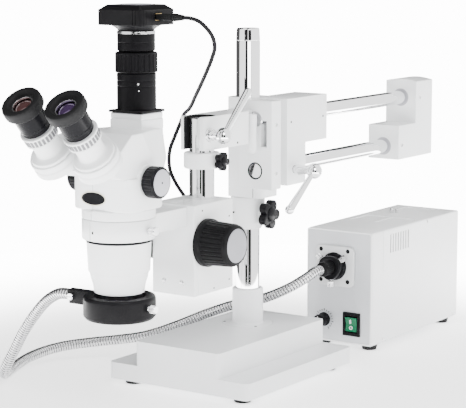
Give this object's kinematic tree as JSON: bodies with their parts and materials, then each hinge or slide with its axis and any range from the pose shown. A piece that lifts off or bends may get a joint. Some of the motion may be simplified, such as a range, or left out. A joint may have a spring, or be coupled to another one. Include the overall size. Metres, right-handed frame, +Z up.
{
  "type": "stereo microscope",
  "caption": "Trinocular stereo microscope on a double-arm boom stand with camera, ring light and fibre-optic illuminator.",
  "frame": {"origin": "middle of the footprint of the stand, microscope and illuminator, on the bench surface, without the cords", "axes": "+X to the user's right, -Y towards the user at the eyepieces, +Z up the main post"},
  "size_m": [0.3864, 0.9048, 0.5045],
  "materials": {
    "base_enamel": "warm white enamel, fine orange peel, satin",
    "white_casting": "white powder-coated casting, satin with soft edges",
    "cover_enamel": "white enamelled folded sheet, satin",
    "panel_grey": "silver-grey painted panel, fine metallic flake",
    "chassis_steel": "zinc-plated sheet",
    "inner_steel": "bare steel",
    "chrome": "hard chrome, mirror polished",
    "screw_steel": "turned and knurled, nickel plated",
    "guide_steel": "corrugated flexible steel tube",
    "black_plastic": "black moulded plastic, ribbed grips",
    "black_anodised": "black anodised, satin",
    "eyepiece_black": "black barrel with a rubber eyecup",
    "foot_rubber": "black rubber, matt",
    "cable_jacket": "black flexible PVC jacket",
    "coated_glass": "lens glass with a violet anti-reflection coating",
    "green_lens": "translucent green moulding"
  },
  "bodies": {
    "stand": {"stand_base": "base_enamel", "base_foot_1": "foot_rubber", "base_foot_2": "foot_rubber", "base_foot_3": "foot_rubber", "base_foot_4": "foot_rubber", "post_socket": "base_enamel", "main_post": "chrome", "post_cap": "chrome", "illuminator_cover": "cover_enamel", "illuminator_chassis": "chassis_steel", "illuminator_front_panel": "panel_grey", "guide_socket": "black_plastic", "guide_ferrule": "black_plastic", "halogen_lamp": "inner_steel", "transformer": "inner_steel", "cooling_fan": "black_plastic", "power_inlet": "black_plastic", "light_guide": "guide_steel", "camera_cable": "cable_jacket", "camera_cable_coil": "cable_jacket", "usb_plug": "black_plastic"},
    "collar": {"safety_collar": "white_casting"},
    "collar_knob": {"collar_knob": "black_plastic"},
    "carriage": {"carriage": "white_casting"},
    "carriage_lever": {"carriage_lever": "chrome"},
    "boom": {"upper_rod": "chrome", "lower_rod": "chrome", "front_end_block": "white_casting", "rear_end_block": "white_casting", "drop_arm": "white_casting"},
    "arm_lever": {"arm_lever": "chrome"},
    "drop_post": {"drop_post": "chrome", "drop_collar": "white_casting"},
    "drop_collar_knob": {"drop_collar_knob": "black_plastic"},
    "focus_mount": {"focus_housing": "white_casting"},
    "focus_knobs": {"focus_knobs": "black_plastic"},
    "carrier": {"focus_rack_plate": "white_casting", "head_holder": "white_casting"},
    "holder_thumbscrew": {"holder_thumbscrew": "screw_steel"},
    "head": {"zoom_body": "white_casting", "objective_lens": "coated_glass", "trinocular_block": "white_casting", "photo_tube": "black_anodised", "camera": "black_anodised", "camera_plug": "black_plastic", "ring_light": "black_anodised"},
    "zoom_knobs": {"zoom_knobs": "black_plastic"},
    "photo_focus_ring": {"photo_focus_ring": "black_anodised"},
    "right_ocular": {"right_prism_housing": "white_casting", "right_eyepiece": "eyepiece_black", "right_eye_lens": "coated_glass"},
    "left_ocular": {"left_prism_housing": "white_casting", "left_eyepiece": "eyepiece_black", "left_eye_lens": "coated_glass"},
    "right_dioptre": {"right_dioptre_ring": "white_casting"},
    "left_dioptre": {"left_dioptre_ring": "white_casting"},
    "ring_light_thumbscrew": {"ring_light_thumbscrew": "screw_steel"},
    "intensity_dial": {"intensity_dial": "black_plastic"},
    "power_rocker": {"power_rocker": "green_lens"},
    "guide_lock_screw": {"guide_lock_screw": "screw_steel"}
  },
  "joints": [
    {"name": "collar_slide", "type": "slide", "parent": "stand", "child": "collar", "axis": [0, 0, 1], "range_m": [-0.062, 0.07], "deforming": ["light_guide", "camera_cable"]},
    {"name": "collar_knob_turn", "type": "hinge", "parent": "collar", "child": "collar_knob", "pos_m": [-0.009, 0.01931, 0.215], "axis": [1, 0, 0], "range_deg": [-180, 180]},
    {"name": "carriage_swing", "type": "hinge", "parent": "collar", "child": "carriage", "pos_m": [-0.009, 0.01931, 0.3], "axis": [0, 0, 1], "range_deg": [-60, 60]},
    {"name": "carriage_lever_turn", "type": "hinge", "parent": "carriage", "child": "carriage_lever", "pos_m": [0.047, 0.03031, 0.277], "axis": [1, 0, 0], "range_deg": [-60, 60]},
    {"name": "boom_slide", "type": "slide", "parent": "carriage", "child": "boom", "axis": [0, -1, 0], "range_m": [0, 0.25]},
    {"name": "arm_lever_turn", "type": "hinge", "parent": "boom", "child": "arm_lever", "pos_m": [0.034, -0.13469, 0.337], "axis": [1, 0, 0], "range_deg": [-60, 60]},
    {"name": "drop_height", "type": "slide", "parent": "boom", "child": "drop_post", "axis": [0, 0, 1], "range_m": [-0.012, 0.0035]},
    {"name": "drop_collar_knob_turn", "type": "hinge", "parent": "drop_post", "child": "drop_collar_knob", "pos_m": [0.017, -0.12469, 0.303], "axis": [1, 0, 0], "range_deg": [-180, 180]},
    {"name": "head_swivel", "type": "hinge", "parent": "drop_post", "child": "focus_mount", "pos_m": [0.017, -0.12469, 0.2], "axis": [0, 0, 1], "range_deg": [-40, 40]},
    {"name": "focus_slide", "type": "slide", "parent": "focus_mount", "child": "carrier", "axis": [0, 0, 1], "range_m": [-0.022, 0.022]},
    {"name": "focus_knob_turn", "type": "hinge", "parent": "focus_mount", "child": "focus_knobs", "pos_m": [0.017, -0.16169, 0.205], "axis": [1, 0, 0], "range_deg": [-211, 211]},
    {"name": "holder_thumbscrew_turn", "type": "hinge", "parent": "carrier", "child": "holder_thumbscrew", "pos_m": [0.017, -0.29669, 0.239], "axis": [1, 0, 0], "range_deg": [-180, 180]},
    {"name": "head_turn", "type": "hinge", "parent": "carrier", "child": "head", "pos_m": [0.017, -0.29669, 0.24], "axis": [0, 0, 1], "range_deg": [-60, 60]},
    {"name": "zoom_turn", "type": "hinge", "parent": "head", "child": "zoom_knobs", "pos_m": [0.017, -0.29669, 0.298], "axis": [1, 0, 0], "range_deg": [-120, 120]},
    {"name": "photo_focus_turn", "type": "hinge", "parent": "head", "child": "photo_focus_ring", "pos_m": [0.017, -0.25969, 0.435], "axis": [0, 0, 1], "range_deg": [-90, 90]},
    {"name": "right_ocular_swing", "type": "hinge", "parent": "head", "child": "right_ocular", "pos_m": [0.031, -0.36301, 0.35636], "axis": [0, -0.6428, 0.766], "range_deg": [0, 10]},
    {"name": "left_ocular_swing", "type": "hinge", "parent": "head", "child": "left_ocular", "pos_m": [0.003, -0.36301, 0.35636], "axis": [0, -0.6428, 0.766], "range_deg": [-10, 0]},
    {"name": "right_dioptre_turn", "type": "hinge", "parent": "right_ocular", "child": "right_dioptre", "pos_m": [0.0487, -0.38369, 0.339], "axis": [0, -0.6428, 0.766], "range_deg": [-120, 120]},
    {"name": "left_dioptre_turn", "type": "hinge", "parent": "left_ocular", "child": "left_dioptre", "pos_m": [-0.0147, -0.38369, 0.339], "axis": [0, -0.6428, 0.766], "range_deg": [-120, 120]},
    {"name": "ring_light_thumbscrew_turn", "type": "hinge", "parent": "head", "child": "ring_light_thumbscrew", "pos_m": [0.017, -0.29669, 0.145], "axis": [1, 0, 0], "range_deg": [-180, 180]},
    {"name": "intensity_dial_turn", "type": "hinge", "parent": "stand", "child": "intensity_dial", "pos_m": [0.01175, 0.18631, 0.04], "axis": [0, 1, 0], "range_deg": [-150, 150]},
    {"name": "power_rocker_tilt", "type": "hinge", "parent": "stand", "child": "power_rocker", "pos_m": [0.05725, 0.19031, 0.0375], "axis": [1, 0, 0], "range_deg": [-12, 0]},
    {"name": "guide_lock_screw_turn", "type": "hinge", "parent": "stand", "child": "guide_lock_screw", "pos_m": [0.031, 0.17131, 0.105], "axis": [0, 0, 1], "range_deg": [-180, 180]}
  ],
  "couplings": [
    {"joint": "focus_knob_turn", "follows": "focus_slide", "rad_per_m": -166.67},
    {"joint": "left_ocular_swing", "follows": "right_ocular_swing", "ratio": -1}
  ]
}
